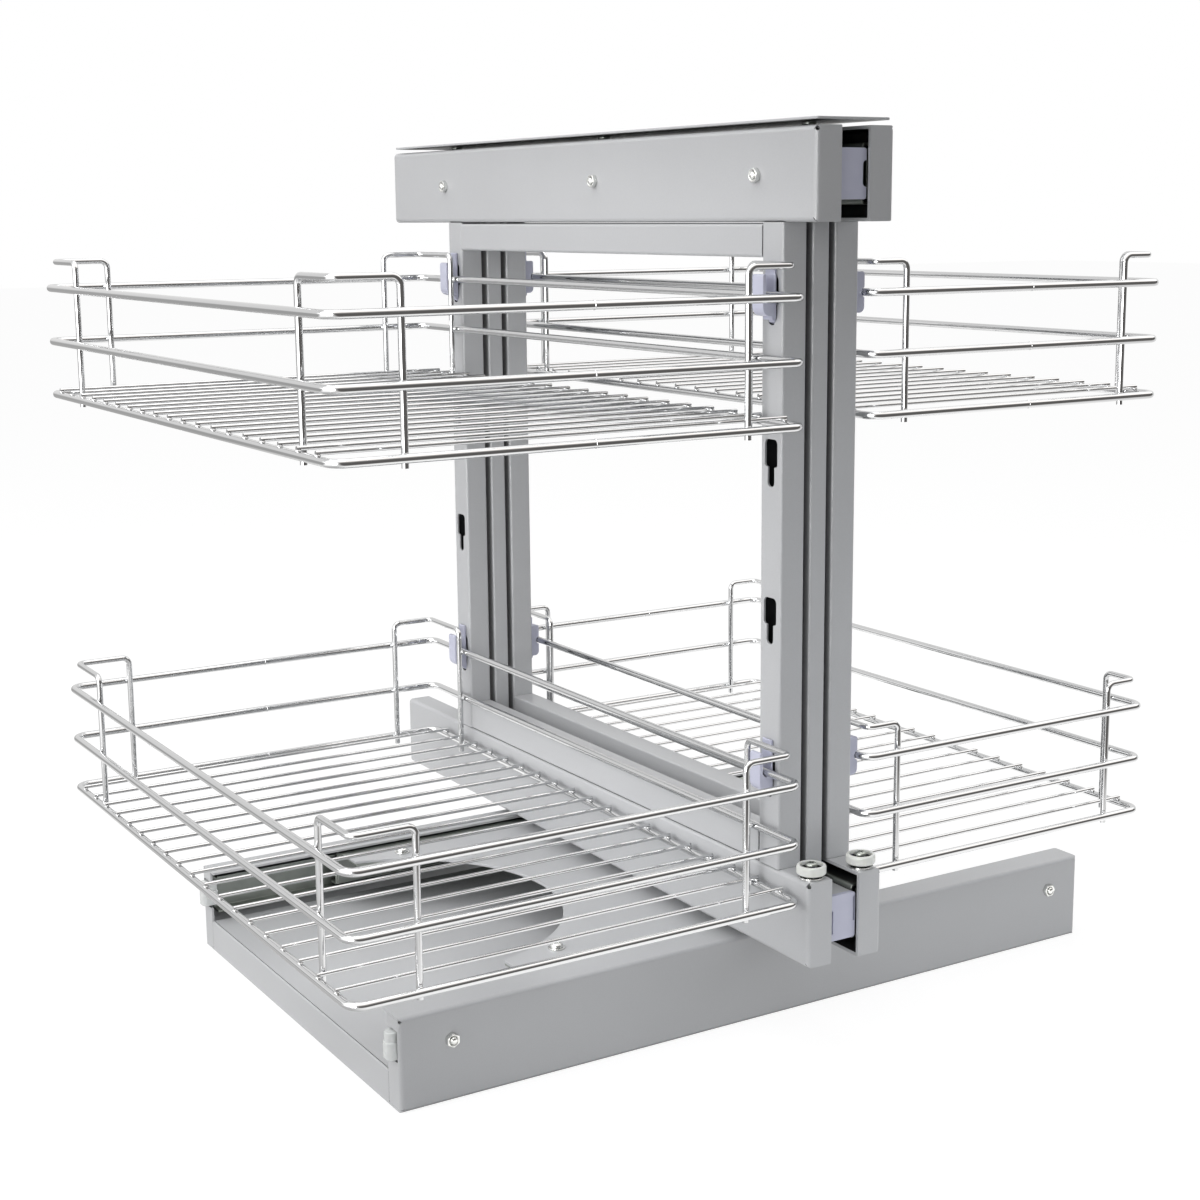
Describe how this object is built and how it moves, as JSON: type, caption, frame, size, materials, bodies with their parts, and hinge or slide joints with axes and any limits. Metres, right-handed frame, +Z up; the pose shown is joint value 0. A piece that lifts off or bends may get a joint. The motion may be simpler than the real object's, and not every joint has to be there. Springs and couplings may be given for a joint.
{
  "type": "corner pull-out unit",
  "caption": "Blind-corner storage unit: wire baskets on two frames that slide out of a carriage, which itself runs sideways on a low base.",
  "frame": {"origin": "centre of the four floor-screw holes, on the floor the base stands on", "axes": "+X along the base rails, from the end with the floor pan to the open end; +Y away from the user, into the cabinet; +Z up. The side frames pull out towards -Y."},
  "size_m": [0.61, 0.548, 0.5705],
  "materials": {
    "powder_coat": "satin light grey powder coat",
    "chrome_wire": "bright chrome plate on steel wire",
    "zinc_steel": "zinc-plated steel",
    "bearing_steel": "dark oiled steel",
    "clip_plastic": "pale lavender-grey moulded plastic",
    "clear_plastic": "milky translucent plastic",
    "tyre_plastic": "off-white nylon"
  },
  "bodies": {
    "base": {"base_pan": "powder_coat", "base_front_rail": "powder_coat", "base_rear_rail": "powder_coat", "x_slide_outer_front": "zinc_steel", "x_slide_outer_rear": "zinc_steel", "base_screws": "zinc_steel", "x_slide_end_stops": "clear_plastic"},
    "x_cages": {"x_slide_ball_cages": "bearing_steel"},
    "carriage": {"x_slides_inner": "zinc_steel", "carriage_angles": "zinc_steel", "carriage_plate": "powder_coat", "carriage_screws": "zinc_steel", "carriage_stands": "powder_coat", "middle_lower_rail": "powder_coat", "middle_upper_rail": "powder_coat", "middle_near_post": "powder_coat", "middle_far_post": "powder_coat", "middle_end_plugs": "clip_plastic", "cover_strip": "powder_coat", "cover_spacers": "zinc_steel", "y_slides_outer": "zinc_steel"},
    "left_mid": {"left_slides_middle": "zinc_steel", "left_slides_ball_cages": "bearing_steel"},
    "left_frame": {"left_slides_inner": "zinc_steel", "left_upper_channel": "powder_coat", "left_lower_channel": "powder_coat", "left_near_post": "powder_coat", "left_far_post": "powder_coat", "left_top_rail": "powder_coat", "left_bottom_rail": "powder_coat", "left_channel_screws": "zinc_steel", "left_roller_pin": "zinc_steel", "left_upper_basket_rings": "chrome_wire", "left_upper_basket_floor_wires": "chrome_wire", "left_lower_basket_rings": "chrome_wire", "left_lower_basket_floor_wires": "chrome_wire", "left_corner_loops": "chrome_wire", "left_hanger_clips": "clip_plastic"},
    "left_roller": {"left_roller_bearing": "bearing_steel", "left_roller_tyre": "tyre_plastic"},
    "right_mid": {"right_slides_middle": "zinc_steel", "right_slides_ball_cages": "bearing_steel"},
    "right_frame": {"right_slides_inner": "zinc_steel", "right_upper_channel": "powder_coat", "right_lower_channel": "powder_coat", "right_near_post": "powder_coat", "right_far_post": "powder_coat", "right_top_rail": "powder_coat", "right_bottom_rail": "powder_coat", "right_channel_screws": "zinc_steel", "right_roller_pin": "zinc_steel", "right_upper_basket_rings": "chrome_wire", "right_upper_basket_floor_wires": "chrome_wire", "right_lower_basket_rings": "chrome_wire", "right_lower_basket_floor_wires": "chrome_wire", "right_corner_loops": "chrome_wire", "right_hanger_clips": "clip_plastic"},
    "right_roller": {"right_roller_bearing": "bearing_steel", "right_roller_tyre": "tyre_plastic"}
  },
  "joints": [
    {"name": "carriage_slide", "type": "slide", "parent": "base", "child": "carriage", "axis": [1, 0, 0], "range_m": [-0.09, 0.18]},
    {"name": "x_cage_slide", "type": "slide", "parent": "base", "child": "x_cages", "axis": [1, 0, 0], "range_m": [-0.045, 0.09]},
    {"name": "left_frame_slide", "type": "slide", "parent": "carriage", "child": "left_frame", "axis": [0, -1, 0], "range_m": [0, 0.4]},
    {"name": "left_mid_slide", "type": "slide", "parent": "carriage", "child": "left_mid", "axis": [0, -1, 0], "range_m": [0, 0.2]},
    {"name": "left_roller_spin", "type": "hinge", "parent": "left_frame", "child": "left_roller", "pos_m": [-0.0255, -0.2345, 0.1255], "axis": [0, 0, 1], "continuous": true},
    {"name": "right_frame_slide", "type": "slide", "parent": "carriage", "child": "right_frame", "axis": [0, -1, 0], "range_m": [0, 0.4]},
    {"name": "right_mid_slide", "type": "slide", "parent": "carriage", "child": "right_mid", "axis": [0, -1, 0], "range_m": [0, 0.2]},
    {"name": "right_roller_spin", "type": "hinge", "parent": "right_frame", "child": "right_roller", "pos_m": [0.0125, -0.2345, 0.1255], "axis": [0, 0, 1], "continuous": true}
  ],
  "couplings": [
    {"joint": "x_cage_slide", "follows": "carriage_slide", "ratio": 0.5},
    {"joint": "left_mid_slide", "follows": "left_frame_slide", "ratio": 0.5},
    {"joint": "right_mid_slide", "follows": "right_frame_slide", "ratio": 0.5}
  ]
}
